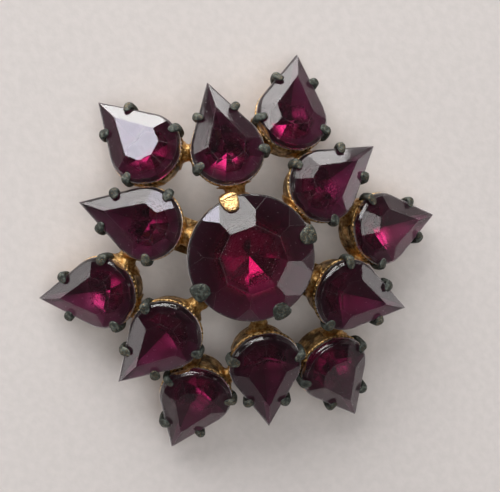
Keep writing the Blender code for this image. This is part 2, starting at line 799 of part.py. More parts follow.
hinge_place = BAR @ Matrix.Translation((HINGE_AT, 0, -PIN_DROP))
catch_place = BAR @ Matrix.Translation((CATCH_AT, 0, -PIN_DROP))
piece("pin_bar", pin_bar(), GILT, BAR)
piece("hinge_rivet", hinge_rivet(), STEEL, hinge_place)
piece("pin_stem", pin_stem(), STEEL, hinge_place)
piece("catch_hook", catch_hook(), GILT, catch_place)
piece("catch_sleeve", catch_sleeve(), GILT, catch_place)


def stand_on_origin():
    """Moves the frame so that the brooch lies on its origin plane, centred on it."""
    bpy.context.view_layer.update()
    corners = [
        obj.matrix_world @ vertex.co
        for obj in parts.objects if obj.type == "MESH"
        for vertex in obj.data.vertices
    ]
    low = Vector([min(corner[axis] for corner in corners) for axis in range(3)])
    high = Vector([max(corner[axis] for corner in corners) for axis in range(3)])
    middle_point = (low + high) / 2
    frame.location = (-middle_point.x, -middle_point.y, -low.z)


def finish_surfaces():
    """Smooth round forms, crisp facets and folds."""
    for obj in parts.objects:
        if obj.type == "MESH" and not obj.name.endswith("_stone"):
            obj.data.shade_smooth()
            obj.data.set_sharp_from_angle(angle=math.radians(SHARP_ANGLE))


stand_on_origin()
finish_surfaces()
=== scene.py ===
"""Costume brooch: thirteen claw-set plum glass stones in gilt cups, with a pin and safety catch."""

import math
import random

import bmesh
import bpy
from mathutils import Matrix, Vector, noise


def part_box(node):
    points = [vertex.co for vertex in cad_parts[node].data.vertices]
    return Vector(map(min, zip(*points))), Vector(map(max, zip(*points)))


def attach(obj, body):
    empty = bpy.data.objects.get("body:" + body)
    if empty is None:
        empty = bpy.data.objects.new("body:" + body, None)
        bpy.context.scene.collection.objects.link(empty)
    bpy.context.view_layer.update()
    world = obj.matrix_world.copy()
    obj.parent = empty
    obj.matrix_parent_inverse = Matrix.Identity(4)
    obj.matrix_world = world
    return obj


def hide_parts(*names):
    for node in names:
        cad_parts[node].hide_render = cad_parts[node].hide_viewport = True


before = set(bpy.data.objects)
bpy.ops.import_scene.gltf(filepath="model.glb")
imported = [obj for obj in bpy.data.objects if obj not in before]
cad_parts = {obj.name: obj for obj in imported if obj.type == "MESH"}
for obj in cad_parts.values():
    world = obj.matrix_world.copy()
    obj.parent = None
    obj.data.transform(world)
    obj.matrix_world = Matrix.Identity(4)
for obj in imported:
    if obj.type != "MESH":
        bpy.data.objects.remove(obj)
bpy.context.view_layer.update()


# STUDIO. The brooch lies face up on a pale matt board. A tall soft window with brighter panes
# stands past the board's top edge, cards light single facets, and a lamp above fills the shadow.
MM = 0.001
ROUND_CROWN = 2.3 * MM
# The round stone was set this far off the middle of the dome.
ROUND_STONE_SHIFT = Vector((0.3 * MM, 0.6 * MM, 0))
low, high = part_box("centre_stone")
ROUND_MIDDLE = Vector(((low.x + high.x) / 2, (low.y + high.y) / 2, high.z - ROUND_CROWN))
DOME_MIDDLE = ROUND_MIDDLE - ROUND_STONE_SHIFT

BOARD_SIZE = 1.0
# Each soft panel: bearing in degrees, distance, height of its foot, width, height, radiance.
SOFT_PANELS = {
    "window": (114.6, 0.9, 0, 0.67, 1.19, 5.8),
    "window_sill": (105, 0.88, 0, 0.23, 0.09, 6.5),
    "sky_middle": (132.2, 0.88, 0.47, 0.12, 0.23, 5.4),
    "sky_top": (106, 0.88, 0.95, 0.18, 0.23, 2.8),
    "wall": (141.5, 0.9, 0.14, 0.18, 0.61, 2.6),
    "low_card": (77, 0.9, 0, 0.43, 0.27, 6.5),
    "high_card": (81, 0.9, 0.76, 0.23, 0.31, 3.2),
    "side_card": (17, 0.9, 0.90, 0.22, 0.25, 2.6),
    "right_card": (3, 0.9, 0.05, 0.31, 0.16, 1.8),
    "lower_card": (-26, 0.9, 0.32, 0.20, 0.13, 1.6),
    "left_card": (-170.5, 0.9, 0.02, 0.67, 0.30, 2.0),
}
FILL_HEIGHT = 1.0
FILL_SIZE = 0.8
FILL_RADIANCE = 2.5
DAYLIGHT = (1.0, 0.985, 0.97)
BLUE_SKY = (0.75, 0.72, 1.0)
# The camera's place from the middle of the dome, its right and up directions, and its lens.
CAMERA_FROM_DOME = Vector((-30.684, 24.807, 207.081)) * MM
CAMERA_RIGHT = Vector((0.98858, 0.05330, 0.14096))
CAMERA_UP = Vector((-0.03720, 0.99273, -0.11450))
CAMERA_LENS = 122.35
SENSOR_WIDTH = 36


def add_node(tree, kind, values=(), **settings):
    """Adds a shader node. values gives an input a plain value or another node's output."""
    made = tree.nodes.new("ShaderNode" + kind)
    for key, value in settings.items():
        setattr(made, key, value)
    for key, value in dict(values).items():
        if isinstance(value, bpy.types.NodeSocket):
            tree.links.new(value, made.inputs[key])
        else:
            made.inputs[key].default_value = value
    return made


def mix_colours(tree, mask, first, second):
    """Colour that goes from the first to the second as the mask rises."""
    mixed = add_node(tree, "Mix", {0: mask, 6: first, 7: second}, data_type="RGBA")
    return mixed.outputs[2]


def speckle(tree, place, scale, start, end, detail=2.0, low_value=0.0, high_value=1.0):
    """Mask of noise that rises from its low to its high value between two noise levels."""
    clouds = add_node(tree, "TexNoise", {"Vector": place, "Scale": scale, "Detail": detail})
    mask = add_node(
        tree, "MapRange",
        {0: clouds.outputs["Fac"], 1: start, 2: end, 3: low_value, 4: high_value},
    )
    return mask.outputs[0]


def new_material(name):
    """Empty node material, with its tree and shader."""
    material = bpy.data.materials.new(name)
    material.use_nodes = True
    tree = material.node_tree
    return material, tree, tree.nodes["Principled BSDF"]


board_material, tree, shader = new_material("matt_board")
place = add_node(tree, "TexCoord").outputs["Object"]
fleck = speckle(tree, place, 900, 0.35, 0.65, 4)
shader.inputs["Roughness"].default_value = 0.9
tree.links.new(
    mix_colours(tree, fleck, (0.61, 0.575, 0.555, 1), (0.645, 0.605, 0.585, 1)),
    shader.inputs["Base Color"],
)
bump = add_node(tree, "Bump", {"Strength": 0.12, "Distance": 0.0001, "Height": fleck})
tree.links.new(bump.outputs[0], shader.inputs["Normal"])

bm = bmesh.new()
bmesh.ops.create_grid(bm, x_segments=8, y_segments=8, size=BOARD_SIZE / 2)
board_mesh = bpy.data.meshes.new("board")
bm.to_mesh(board_mesh)
bm.free()
board = bpy.data.objects.new("board", board_mesh)
board.data.materials.append(board_material)
bpy.context.scene.collection.objects.link(board)


def soft_lamp(name, width, height, radiance, colour, middle, towards):
    """Evenly lit panel round a middle point, facing back along a direction."""
    lamp_data = bpy.data.lights.new(name, "AREA")
    lamp_data.shape = "RECTANGLE"
    lamp_data.size, lamp_data.size_y = width, height
    lamp_data.energy = radiance * math.pi * width * height
    lamp_data.color = colour
    lamp = bpy.data.objects.new(name, lamp_data)
    lamp.location = middle
    lamp.rotation_euler = towards.to_track_quat("Z", "Y").to_euler()
    lamp.visible_camera = False
    bpy.context.scene.collection.objects.link(lamp)
    return lamp


for name, (bearing, distance, foot, width, height, radiance) in SOFT_PANELS.items():
    towards = Vector((math.cos(math.radians(bearing)), math.sin(math.radians(bearing)), 0))
    middle = towards * distance + Vector((0, 0, foot + height / 2))
    colour = BLUE_SKY if name.startswith("sky") else DAYLIGHT
    soft_lamp(name, width, height, radiance, colour, middle, towards)
# The fill lamp only lifts shadows: reflections don't show it.
above = Vector((0, 0, 1))
fill = soft_lamp(
    "fill", FILL_SIZE, FILL_SIZE, FILL_RADIANCE, DAYLIGHT, above * FILL_HEIGHT, above
)
fill.visible_glossy = False

# A dim room: pale near the board, dark from a third of the way up. The camera sees plain paper.
world = bpy.data.worlds.new("dim_room")
world.use_nodes = True
bpy.context.scene.world = world
tree = world.node_tree
background = tree.nodes["Background"]
way = add_node(tree, "TexCoord").outputs["Generated"]
climb = add_node(tree, "SeparateXYZ", {0: way}).outputs["Z"]
room = add_node(tree, "ValToRGB", {0: climb})
steps = room.color_ramp.elements
steps[0].position, steps[0].color = 0.0, (0.55, 0.52, 0.51, 1)
steps[1].position, steps[1].color = 0.6, (0.05, 0.05, 0.055, 1)
steps.new(0.15).color = (0.40, 0.38, 0.38, 1)
steps.new(0.36).color = (0.10, 0.095, 0.10, 1)
sight = add_node(tree, "LightPath").outputs["Is Camera Ray"]
seen = mix_colours(tree, sight, room.outputs[0], (0.60, 0.55, 0.53, 1))
tree.links.new(seen, background.inputs["Color"])

camera_data = bpy.data.cameras.new("camera")
camera_data.sensor_width = SENSOR_WIDTH
camera_data.lens = CAMERA_LENS
camera_data.clip_start, camera_data.clip_end = 0.01, 5
camera = bpy.data.objects.new("camera", camera_data)
columns = Matrix((CAMERA_RIGHT, CAMERA_UP, CAMERA_RIGHT.cross(CAMERA_UP))).transposed()
camera.matrix_world = Matrix.Translation(DOME_MIDDLE + CAMERA_FROM_DOME) @ columns.to_4x4()
bpy.context.scene.collection.objects.link(camera)
bpy.context.scene.camera = camera
bpy.context.scene.view_settings.view_transform = "Standard"


# ROUND STONE. A moulded and fire-polished plum glass stone, 16 mm across, with a foil of
# bright metal and gold lacquer on its pavilion. The claws alone hold it in the centre cup.
GIRDLE = 0.35 * MM
ROUND_RADIUS = 8.0 * MM
ROUND_PAVILION = 4.3 * MM
ROUND_TABLE = 4.3 * MM
ROUND_SIDES = 8
ROUND_FIRST_FACET = 22.5
STEEP_FACET_DEPTH = 0.52
# How soon the foil dulls on the way from the lowest point to the girdle, where a pear's is 1.
ROUND_FOIL_WEAR = 1.15
OUTLINE_STEPS = 96
# The blank stands this far over the table before it is cut. Corners this close become one.
BLANK_SPARE = 0.1 * MM
CUT_TOLERANCE = 0.0005 * MM
WELD_DISTANCE = 0.003 * MM
# Facets that look down more than this are foiled. Crown edges sharper than this many degrees
# are worn into strips of this width.
FOILED_BELOW = -0.2
CRISP_ANGLE = 5.5
EDGE_POLISH = 0.07 * MM
# Inset and height of each step of the rounded shoulder between the girdle and the crown.
ROUND_SHOULDER = ((0, 0.06 * MM), (-0.03 * MM, 0.17 * MM), (-0.09 * MM, 0.26 * MM),
                  (-0.18 * MM, 0.32 * MM))


def on_arc(radius, first, last, steps, centre=(0, 0)):
    """Points on an arc, from one angle in degrees to another."""
    angles = [math.radians(first + (last - first) * i / steps) for i in range(steps + 1)]
    return [
        (centre[0] + radius * math.cos(a), centre[1] + radius * math.sin(a)) for a in angles
    ]


def reach_towards(outline, angle):
    """How far an outline reaches in a direction."""
    turn = math.radians(angle)
    return max(x * math.cos(turn) + y * math.sin(turn) for x, y in outline)


def facet(angle, near, near_z, far, far_z):
    """Plane that faces an angle and passes through two heights at two reaches."""
    turn = math.radians(angle)
    outward = Vector((math.cos(turn), math.sin(turn), 0))
    across = Vector((-math.sin(turn), math.cos(turn), 0))
    point = outward * far + Vector((0, 0, far_z))
    slope = outward * (far - near) + Vector((0, 0, far_z - near_z))
    normal = slope.cross(across)
    if normal.dot(point) < 0:
        normal.negate()
    return point, normal.normalized()


def culet_facet(angle, depth, outline):
    """Pavilion facet that runs from the girdle down to the stone's lowest point."""
    return facet(angle, 0, -depth, reach_towards(outline, angle), -GIRDLE / 2)


def mesh_of(bm, name):
    """Mesh of a bmesh, which is freed, with its faces turned outwards."""
    bmesh.ops.recalc_face_normals(bm, faces=bm.faces)
    mesh = bpy.data.meshes.new(name)
    bm.to_mesh(mesh)
    bm.free()
    return mesh


def cut_stone(outline_at, shoulder, crown, pavilion, facets, tip_reach=0, foil_wear=1):
    """Closed stone: a blank with a rounded shoulder, cut by facets, with foil below.

    Its vertices know how near they are to the girdle and, with a tip, to the stone's point.
    """
    bm = bmesh.new()
    sections = [(0, -pavilion), *shoulder, (shoulder[-1][0], crown + BLANK_SPARE)]
    rings = [
        [bm.verts.new((x, y, height)) for x, y in outline_at(inset)]
        for inset, height in sections
    ]
    count = len(rings[0])
    for first, second in zip(rings, rings[1:]):
        for index in range(count):
            after = (index + 1) % count
            face = bm.faces.new((first[index], first[after], second[after], second[index]))
            face.smooth = True
    bm.faces.new(rings[0])
    bm.faces.new(rings[-1])
    for ring in rings[1:-1]:
        for index in range(count):
            bm.edges.get((ring[index], ring[(index + 1) % count])).seam = True
    for point, normal in facets + [(Vector((0, 0, crown)), Vector((0, 0, 1)))]:
        everything = bm.verts[:] + bm.edges[:] + bm.faces[:]
        cut = bmesh.ops.bisect_plane(
            bm, geom=everything, dist=CUT_TOLERANCE, plane_co=point, plane_no=normal,
            clear_outer=True,
        )["geom_cut"]
        edges = [part for part in cut if isinstance(part, bmesh.types.BMEdge)]
        rim = [edge for edge in edges if edge.is_boundary]
        for face in bmesh.ops.holes_fill(bm, edges=rim)["faces"]:
            face.smooth = False
    bmesh.ops.remove_doubles(bm, verts=bm.verts, dist=WELD_DISTANCE)
    bmesh.ops.recalc_face_normals(bm, faces=bm.faces)
    for face in bm.faces:
        face.material_index = 1 if face.normal.z < FOILED_BELOW else 0
    near_edge = bm.verts.layers.float.new("near_edge")
    near_point = bm.verts.layers.float.new("near_point")
    worn_edge = bm.faces.layers.float.new("worn_edge")
    for vertex in bm.verts:
        vertex[near_edge] = (1 + vertex.co.z / pavilion) * foil_wear
        vertex[near_point] = vertex.co.x / tip_reach if tip_reach else 0
    crisp = []
    for edge in bm.edges:
        sharp = not edge.seam and edge.calc_face_angle(0) > math.radians(CRISP_ANGLE)
        if sharp and max(face.normal.z for face in edge.link_faces) > FOILED_BELOW:
            crisp.append(edge)
    strips = bmesh.ops.bevel(
        bm, geom=crisp, offset=EDGE_POLISH, segments=1, affect="EDGES", clamp_overlap=True,
        material=0,
    )["faces"]
    for face in strips:
        face.smooth = False
        face[worn_edge] = 1
    return mesh_of(bm, "stone")


def new_group(name, inputs, outputs):
    """Empty shader node group, with its input and output nodes."""
    group = bpy.data.node_groups.new(name, "ShaderNodeTree")
    for label, kind, value in inputs:
        socket = group.interface.new_socket(
            label, in_out="INPUT", socket_type="NodeSocket" + kind
        )
        socket.default_value = value
    for label, kind in outputs:
        group.interface.new_socket(label, in_out="OUTPUT", socket_type="NodeSocket" + kind)
    return group, group.nodes.new("NodeGroupInput"), group.nodes.new("NodeGroupOutput")


def place_group(tree, group, values=()):
    """Puts a node group into a material, with its own values."""
    return add_node(tree, "Group", values, node_tree=group)


# Handling marks: short hairlines in two directions, and soft smears of grease.
handling_marks, given, result = new_group(
    "handling_marks",
    [("Scale", "Float", 1.0)],
    [("Hairline", "Float"), ("Smear", "Float")],
)
place = add_node(handling_marks, "TexCoord").outputs["Object"]
sized = add_node(
    handling_marks, "VectorMath", {0: place, 3: given.outputs["Scale"]}, operation="SCALE"
).outputs[0]
lines = []
for turn, stretch in ((0.5, (300, 9000, 300)), (2.2, (9000, 260, 260))):
    turned = add_node(
        handling_marks, "Mapping", {"Vector": sized, "Rotation": (0, 0, turn), "Scale": stretch}
    )
    lines.append(speckle(handling_marks, turned.outputs[0], 1.0, 0.66, 0.72, 1))
both = add_node(handling_marks, "Math", {0: lines[0], 1: lines[1]}, operation="MAXIMUM")
smear = speckle(handling_marks, sized, 420, 0.42, 0.72, 3)
handling_marks.links.new(both.outputs[0], result.inputs["Hairline"])
handling_marks.links.new(smear, result.inputs["Smear"])

plum_glass, tree, shader = new_material("plum_glass_cut")
marks = place_group(tree, handling_marks, {"Scale": 1.0})
place = add_node(tree, "TexCoord").outputs["Object"]
dust = speckle(tree, place, 4600, 0.70, 0.76, 1)
haze = add_node(tree, "MapRange", {0: marks.outputs["Smear"], 3: 0.02, 4: 0.07})
dusty = add_node(tree, "Math", {0: dust, 1: 0.3, 2: haze.outputs[0]}, operation="MULTIPLY_ADD")
chipped = add_node(tree, "Attribute", attribute_name="worn_edge").outputs["Fac"]
chips = speckle(tree, place, 1900, 0.25, 0.42, 2)
chipped = add_node(tree, "Math", {0: chipped, 1: chips}, operation="MULTIPLY").outputs[0]
worn = add_node(
    tree, "Math", {0: chipped, 1: 0.3, 2: dusty.outputs[0]}, operation="MULTIPLY_ADD"
)
tree.links.new(worn.outputs[0], shader.inputs["Roughness"])
tree.links.new(chipped, shader.inputs["Coat Weight"])
shader.inputs["Coat Roughness"].default_value = 0.6
shader.inputs["Coat IOR"].default_value = 2.6
ripple = speckle(tree, place, 260, 0.2, 0.8, 1)
relief = add_node(
    tree, "Math", {0: marks.outputs["Hairline"], 1: -0.02, 2: ripple}, operation="MULTIPLY_ADD"
)
bump = add_node(
    tree, "Bump", {"Strength": 0.15, "Distance": 0.00004, "Height": relief.outputs[0]}
)
tree.links.new(bump.outputs[0], shader.inputs["Normal"])
shader.inputs["Base Color"].default_value = (1, 0.97, 0.99, 1)
shader.inputs["Transmission Weight"].default_value = 1
shader.inputs["IOR"].default_value = 1.6
shader.inputs["Sheen Weight"].default_value = 0.75
shader.inputs["Sheen Roughness"].default_value = 0.33
shader.inputs["Sheen Tint"].default_value = (0.96, 0.90, 0.92, 1)
colour_depth = add_node(
    tree, "VolumeAbsorption", {"Color": (0.80, 0.28, 0.585, 1), "Density": 560}
)
tree.links.new(colour_depth.outputs[0], tree.nodes["Material Output"].inputs["Volume"])

# Foil: bright and grainy through the glass, and gold lacquer, rubbed and spotted, behind.
foil, tree, shader = new_material("foil_and_lacquer")
place = add_node(tree, "TexCoord").outputs["Object"]
marks = place_group(tree, handling_marks, {"Scale": 1.0})
grain = speckle(tree, place, 6500, 0.35, 0.65, 2)
crinkle = speckle(tree, place, 2800, 0.35, 0.65, 2)
spots = speckle(tree, place, 3600, 0.66, 0.72, 2)
bright = mix_colours(tree, grain, (0.62, 0.58, 0.60, 1), (1.0, 0.97, 0.99, 1))
bright = mix_colours(tree, spots, bright, (0.16, 0.11, 0.13, 1))
lacquer = mix_colours(
    tree, marks.outputs["Smear"], (0.62, 0.42, 0.16, 1), (0.36, 0.20, 0.07, 1)
)
lacquer = mix_colours(tree, spots, lacquer, (0.08, 0.05, 0.035, 1))
near_edge = add_node(tree, "Attribute", attribute_name="near_edge").outputs["Fac"]
near_point = add_node(tree, "Attribute", attribute_name="near_point").outputs["Fac"]
dulled = add_node(
    tree, "MapRange", {0: near_edge, 1: 0.34, 2: 0.68}, interpolation_type="SMOOTHSTEP"
).outputs[0]
dulled_point = add_node(
    tree, "MapRange", {0: near_point, 1: 0.12, 2: 0.36}, interpolation_type="SMOOTHSTEP"
).outputs[0]
dulled = add_node(tree, "Math", {0: dulled, 1: dulled_point}, operation="MAXIMUM").outputs[0]
bright = mix_colours(tree, dulled, bright, (0.30, 0.25, 0.27, 1))
inside = add_node(tree, "NewGeometry").outputs["Backfacing"]
tree.links.new(mix_colours(tree, inside, lacquer, bright), shader.inputs["Base Color"])
shader.inputs["Metallic"].default_value = 1
polished = add_node(tree, "MapRange", {0: grain, 3: 0.08, 4: 0.18}).outputs[0]
rough = add_node(tree, "MapRange", {0: dulled, 3: polished, 4: 0.5})
tree.links.new(rough.outputs[0], shader.inputs["Roughness"])
bump = add_node(tree, "Bump", {"Strength": 0.14, "Distance": 0.00003, "Height": crinkle})
tree.links.new(bump.outputs[0], shader.inputs["Normal"])


def facet_plan_of_round():
    """Crown and pavilion facets of the round stone: a main one and a corner one in turn."""
    half_side = math.pi / ROUND_SIDES
    table_reach = ROUND_TABLE * math.cos(half_side)
    foot_inset, foot_height = ROUND_SHOULDER[-1]
    crown_foot = ROUND_RADIUS + foot_inset
    fall = (ROUND_CROWN - foot_height) / (crown_foot - table_reach)
    middle_reach = (ROUND_TABLE + ROUND_RADIUS) / 2
    middle_height = ROUND_CROWN - (middle_reach * math.cos(half_side) - table_reach) * fall
    crown, pavilion = [], []
    for index in range(ROUND_SIDES):
        main = ROUND_FIRST_FACET + 360 * index / ROUND_SIDES
        corner = main + 180 / ROUND_SIDES
        crown.append(facet(main, table_reach, ROUND_CROWN, crown_foot, foot_height))
        crown.append(facet(corner, middle_reach, middle_height, crown_foot, foot_height))
        pavilion.append(facet(main, 0, -ROUND_PAVILION, ROUND_RADIUS, -GIRDLE / 2))
        pavilion.append(facet(
            corner, ROUND_TABLE, -ROUND_PAVILION * STEEP_FACET_DEPTH, ROUND_RADIUS, -GIRDLE / 2
        ))
    return crown, pavilion


def put_in_brooch(name, mesh, materials, nodes=(), body="brooch"):
    """Finished piece on its body, in place of CAD nodes."""
    for material in materials:
        mesh.materials.append(material)
    piece = bpy.data.objects.new(name, mesh)
    bpy.context.scene.collection.objects.link(piece)
    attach(piece, body)
    if nodes:
        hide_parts(*nodes)
    return piece


round_crown, round_pavilion = facet_plan_of_round()
round_stone = cut_stone(
    lambda inset: on_arc(ROUND_RADIUS + inset, 0, 360, OUTLINE_STEPS)[:-1], ROUND_SHOULDER,
    ROUND_CROWN, ROUND_PAVILION, round_crown + round_pavilion, foil_wear=ROUND_FOIL_WEAR,
)
round_stone.transform(Matrix.Translation(ROUND_MIDDLE))
put_in_brooch("round_stone", round_stone, (plum_glass, foil), ["centre_stone"])


# PEAR STONES. Twelve smaller stones of the same glass, nearly 14 by 9 mm: a flat table, six
# crown facets and seven foiled ones below. Each lies in its own cup under four claws.
PEAR_RADIUS = 4.6 * MM
PEAR_TIP = 9.1 * MM
PEAR_CROWN = 1.4 * MM
PEAR_PAVILION = 3.3 * MM
# Corners of half the table: reach from the middle of the arc, and angle from the point.
PEAR_TABLE = ((5.35 * MM, 0), (2.5 * MM, 77), (2.1 * MM, 125), (1.8 * MM, 180))
PEAR_PAVILION_ANGLES = (98, 139)
PEAR_SIDE_ANGLE = math.degrees(math.acos(PEAR_RADIUS / PEAR_TIP))
PEAR_SHOULDER = ((0, 0.10 * MM), (-0.04 * MM, 0.26 * MM), (-0.12 * MM, 0.41 * MM),
                 (-0.22 * MM, 0.55 * MM), (-0.34 * MM, 0.65 * MM))
# How much further than elsewhere the foil has dulled, as a share of the stone's length.
FOIL_WEAR = {"inner_1": -0.15, "outer_3": 0.14, "inner_3": 0.25, "inner_4": 0.2, "inner_5": 0.2}
# A CAD stone's table is its largest flat among the faces that look up at least this much.
LOOKS_UP = 0.6


def pear_outline(inset=0):
    """Outline of the pear stone: an arc, closed by its straight sides and its point."""
    side = PEAR_SIDE_ANGLE
    tip = (PEAR_RADIUS + inset) / math.cos(math.radians(side))
    return on_arc(PEAR_RADIUS + inset, side, 360 - side, OUTLINE_STEPS // 2) + [(tip, 0)]


def table_edge_facet(first, second):
    """Crown facet that runs from one edge of the pear's table down to the girdle."""
    along = second - first
    angle = math.degrees(math.atan2(-along.x, along.y)) + 180
    outward = Vector((math.cos(math.radians(angle)), math.sin(math.radians(angle))))
    if outward.dot(first) < 0:
        angle += 180
        outward.negate()
    foot_inset, foot_height = PEAR_SHOULDER[-1]
    crown_foot = reach_towards(pear_outline(foot_inset), angle)
    return facet(angle, outward.dot(first), PEAR_CROWN, crown_foot, foot_height)


def facet_plan_of_pear():
    """Crown facets, two to each edge of half the table, and the seven pavilion facets."""
    corners = [
        Vector((reach * math.cos(math.radians(turn)), reach * math.sin(math.radians(turn))))
        for reach, turn in PEAR_TABLE
    ]
    crown = [
        table_edge_facet(*[Vector((end.x, side * end.y)) for end in ends])
        for ends in zip(corners, corners[1:]) for side in (1, -1)
    ]
    angles = [180]
    for angle in (PEAR_SIDE_ANGLE, *PEAR_PAVILION_ANGLES):
        angles += [angle, -angle]
    return crown, [culet_facet(angle, PEAR_PAVILION, pear_outline()) for angle in angles]


def seat_of(node):
    """Place of a pear stone on the dome: +X to its point and +Z out of its table."""
    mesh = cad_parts[node].data
    flats = {}
    for face in mesh.polygons:
        if face.normal.z > LOOKS_UP:
            key = tuple(round(part, 2) for part in face.normal)
            flats.setdefault(key, []).append(face)
    table = max(flats.values(), key=lambda faces: sum(face.area for face in faces))
    area = sum(face.area for face in table)
    out = sum((face.normal * face.area for face in table), Vector()).normalized()
    middle = sum((face.center * face.area for face in table), Vector()) / area
    tip = max((vertex.co for vertex in mesh.vertices), key=lambda co: (co - middle).length)
    to_tip = tip - middle
    to_tip = (to_tip - out * to_tip.dot(out)).normalized()
    origin = tip - to_tip * PEAR_TIP + out * GIRDLE / 2
    turn = Matrix((to_tip, out.cross(to_tip), out)).transposed()
    return Matrix.Translation(origin) @ turn.to_4x4()


SETTINGS = [f"{ring}_{number}" for number in range(1, 7) for ring in ("outer", "inner")]
SEATS = {setting: seat_of(f"{setting}_stone") for setting in SETTINGS}
pear_crown, pear_pavilion = facet_plan_of_pear()
pear_stone = cut_stone(
    pear_outline, PEAR_SHOULDER, PEAR_CROWN, PEAR_PAVILION, pear_crown + pear_pavilion,
    tip_reach=PEAR_TIP,
)
for setting, seat in SEATS.items():
    stone = pear_stone.copy()
    for mark in stone.attributes["near_point"].data:
        mark.value += FOIL_WEAR.get(setting, 0)
    stone.transform(seat)
    put_in_brooch(
        f"pear_{setting}", stone, (plum_glass, foil), [f"{setting}_stone"]
    )


# ROUND CUP. Stamped brass, gilded and long since browned, with a milled edge that shows all
# round the stone. Of the four claws that hold it, three are dark green and one is rubbed gold.
ROUND_CUP_DEPTH = 5.0 * MM
CUP_LEAN_IN = 0.9 * MM
ROUND_RIM_INSET = 0.12 * MM
RIM_PITCH = 0.55 * MM
RIM_FOOT = -1.1 * MM
POINTS_PER_TOOTH = 6
TOOTH_HEIGHT = 0.16 * MM
TOOTH_POLISH = 0.65
# Share of its height that a tooth keeps, how much that varies, and over what length.
TOOTH_LEFT = 0.92
TOOTH_VARIES = 0.5
CRUSHED_STRETCH = 1.1 * MM
ROUND_CLAW_WIDE = 2.4 * MM
ROUND_CLAW_REACH = 1.6 * MM
# Angle of each claw, and how far it is rubbed to gold.
ROUND_CLAWS = ((25, 0.10), (115, 1.0), (215, 0.0), (303, 0.06))
CLAW_THICK = 0.55 * MM
CLAW_ROOT = 1.5 * MM
CLAW_CLEARANCE = 0.05 * MM
CLAW_SIDES = 14
# Shares of a claw's length where it is fully wide and where its round end starts, and of its
# width and thickness that are left at its root and at its end.
CLAW_FULL = 0.6
CLAW_END = 0.68
CLAW_ROOT_WIDTH = 0.58
CLAW_END_WIDTH = 0.12
CLAW_END_THICKNESS = 0.25
CLAW_LEAN_START = -0.6 * MM
DENT = 0.035 * MM
DENT_STRETCH = 0.6 * MM


def milled_section(depth, lean_in):
    """Cup wall from inside the rim, over its milled edge and down: (offset, height, tooth)."""
    return [
        (-0.46 * MM, -1.02 * MM, 0), (-0.34 * MM, -0.84 * MM, 0), (-0.24 * MM, -0.70 * MM, 0.5),
        (-0.15 * MM, -0.62 * MM, 1), (-0.05 * MM, -0.60 * MM, 1), (0.03 * MM, -0.63 * MM, 1),
        (0.07 * MM, -0.72 * MM, 0.8), (0.06 * MM, -0.84 * MM, 0.2), (-0.02 * MM, -0.93 * MM, 0),
        (-0.14 * MM, -1.02 * MM, 0), (-0.22 * MM, -1.2 * MM, 0), (-0.24 * MM, -1.5 * MM, 0),
        (-0.20 * MM - 0.3 * lean_in, -0.45 * depth, 0),
        (-0.16 * MM - 0.6 * lean_in, -0.7 * depth, 0),
        (-0.10 * MM - 0.9 * lean_in, -0.93 * depth, 0), (-0.15 * MM - lean_in, -depth, 0),
        (-0.35 * MM - lean_in, -depth - 0.01 * MM, 0),
        (-0.52 * MM - lean_in, -0.97 * depth, 0),
        (-0.55 * MM - 0.6 * lean_in, -0.7 * depth, 0),
        (-0.66 * MM, -0.40 * depth, 0), (-0.60 * MM, -1.3 * MM, 0),
    ]


def crown_height(facets, x, y):
    """Height of a stone's crown above a point of its girdle plane."""
    return min(
        point.z - ((x - point.x) * normal.x + (y - point.y) * normal.y) / normal.z
        for point, normal in facets
    )


def cup_wall(bm, rubbed, outline_at, section, rim_fall):
    """Lofts the wall through the outline at each point of the section, with a milled rim."""
    count = len(outline_at(0))
    tooth_turn = 2 * math.pi / POINTS_PER_TOOTH
    rings = []
    for offset, height, tooth in section:
        ring = []
        for index, (x, y) in enumerate(outline_at(offset)):
            patch = Vector((x, y, 0)) / CRUSHED_STRETCH + Vector((count, 0, 0))
            left = TOOTH_LEFT + TOOTH_VARIES * noise.noise(patch)
            wave = tooth * 0.5 * (1 + math.cos(index * tooth_turn)) * left
            fall = rim_fall(x) if height > RIM_FOOT else 0
            vertex = bm.verts.new((x, y, height + wave * TOOTH_HEIGHT - fall))
            vertex[rubbed] = TOOTH_POLISH * tooth * wave
            ring.append(vertex)
        rings.append(ring)
    for first, second in zip(rings, rings[1:] + rings[:1]):
        for index in range(count):
            after = (index + 1) % count
            bm.faces.new((first[index], first[after], second[after], second[index]))


def catmull(ends, share):
    """Point of a smooth curve through the middle two of four points."""
    before, first, second, after = ends
    return 0.5 * (
        2 * first + (second - before) * share
        + (2 * before - 5 * first + 4 * second - after) * share ** 2
        + (3 * first - before - 3 * second + after) * share ** 3
    )


